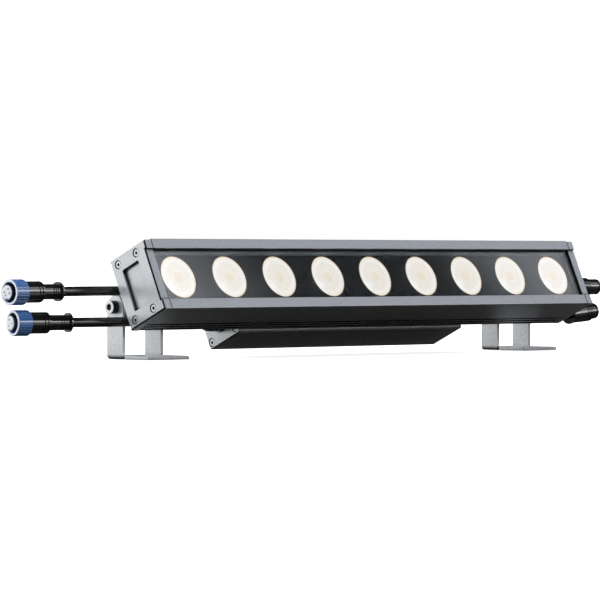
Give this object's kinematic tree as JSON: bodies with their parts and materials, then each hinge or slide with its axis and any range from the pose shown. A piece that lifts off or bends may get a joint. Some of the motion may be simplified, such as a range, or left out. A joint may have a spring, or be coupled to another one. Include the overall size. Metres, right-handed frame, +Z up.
{
  "type": "linear light fixture",
  "caption": "Outdoor linear light: long extruded housing with a row of round lenses behind glass, folded tilting brackets, rear supply box and short screw-lock leads.",
  "frame": {"origin": "under the middle of the fixture, level with the underside of the bracket plates", "axes": "+X along the fixture to the plug end, -Y the lit side, +Z up"},
  "size_m": [0.679, 0.0988, 0.0929],
  "materials": {
    "frame_metal": "fine matte anodised",
    "bracket_metal": "fine matte, folded sheet",
    "seal_rubber": "matte",
    "lead_rubber": "smooth satin",
    "black_plastic": "satin",
    "front_glass": "clear",
    "plate_black": "gloss",
    "lens_lit": "frosted, lit from behind",
    "holder_grey": "matte",
    "board_white": "satin",
    "emitter": "satin",
    "screw_steel": "satin",
    "washer_plastic": "matte",
    "board_green": "satin",
    "coil_yellow": "matte",
    "capacitor_blue": "satin",
    "terminal_green": "matte",
    "wire_red": "satin",
    "nut_blue": "satin, fluted",
    "insert_plastic": "matte",
    "pin_brass": "plated"
  },
  "bodies": {
    "housing": {"board_screws": "screw_steel", "cable_glands_left": "black_plastic", "cable_glands_right": "black_plastic", "driver_board": "board_green", "driver_cap_left": "frame_metal", "driver_cap_right": "frame_metal", "driver_cap_screws": "screw_steel", "driver_capacitors": "capacitor_blue", "driver_gaskets": "seal_rubber", "driver_housing": "frame_metal", "driver_terminals": "terminal_green", "driver_transformer": "coil_yellow", "end_cap_left": "frame_metal", "end_cap_right": "frame_metal", "end_cap_screws": "screw_steel", "end_gasket_left": "seal_rubber", "end_gasket_right": "seal_rubber", "front_glass": "front_glass", "glass_seal": "seal_rubber", "hinge_block_left": "frame_metal", "hinge_block_right": "frame_metal", "housing_extrusion": "frame_metal", "lead_left_lower": "lead_rubber", "lead_left_upper": "lead_rubber", "lead_right_lower": "lead_rubber", "lead_right_upper": "lead_rubber", "led_board": "board_white", "led_emitters": "emitter", "lens_1": "lens_lit", "lens_2": "lens_lit", "lens_3": "lens_lit", "lens_4": "lens_lit", "lens_5": "lens_lit", "lens_6": "lens_lit", "lens_7": "lens_lit", "lens_8": "lens_lit", "lens_9": "lens_lit", "lens_holders": "holder_grey", "lens_plate": "plate_black", "pivot_bolts": "screw_steel", "pivot_washers": "washer_plastic", "plug_body_lower": "black_plastic", "plug_body_upper": "black_plastic", "plug_pins_lower": "pin_brass", "plug_pins_upper": "pin_brass", "slot_nuts": "screw_steel", "slot_screws": "screw_steel", "socket_body_lower": "black_plastic", "socket_body_upper": "black_plastic", "socket_insert_lower": "insert_plastic", "socket_insert_upper": "insert_plastic", "supply_wires": "wire_red", "wire_grommet": "seal_rubber"},
    "bracket_left": {"bracket_left": "bracket_metal"},
    "bracket_right": {"bracket_right": "bracket_metal"},
    "coupling_nut_upper": {"coupling_nut_upper": "nut_blue"},
    "coupling_nut_lower": {"coupling_nut_lower": "nut_blue"}
  },
  "joints": [
    {"name": "bracket_left_tilt", "type": "hinge", "parent": "housing", "child": "bracket_left", "pos_m": [-0.2164, 0.02008, 0.0403], "axis": [1, 0, 0], "range_deg": [-24.6, 155.4]},
    {"name": "bracket_right_tilt", "type": "hinge", "parent": "housing", "child": "bracket_right", "pos_m": [0.2164, 0.02008, 0.0403], "axis": [1, 0, 0], "range_deg": [-24.6, 155.4]},
    {"name": "coupling_nut_upper_turn", "type": "hinge", "parent": "housing", "child": "coupling_nut_upper", "pos_m": [-0.3045, 0.01029, 0.05267], "axis": [-1, 0, -0.0065], "continuous": true},
    {"name": "coupling_nut_lower_turn", "type": "hinge", "parent": "housing", "child": "coupling_nut_lower", "pos_m": [-0.2995, 0.00432, 0.02926], "axis": [-0.984, 0.1781, 0], "continuous": true}
  ]
}
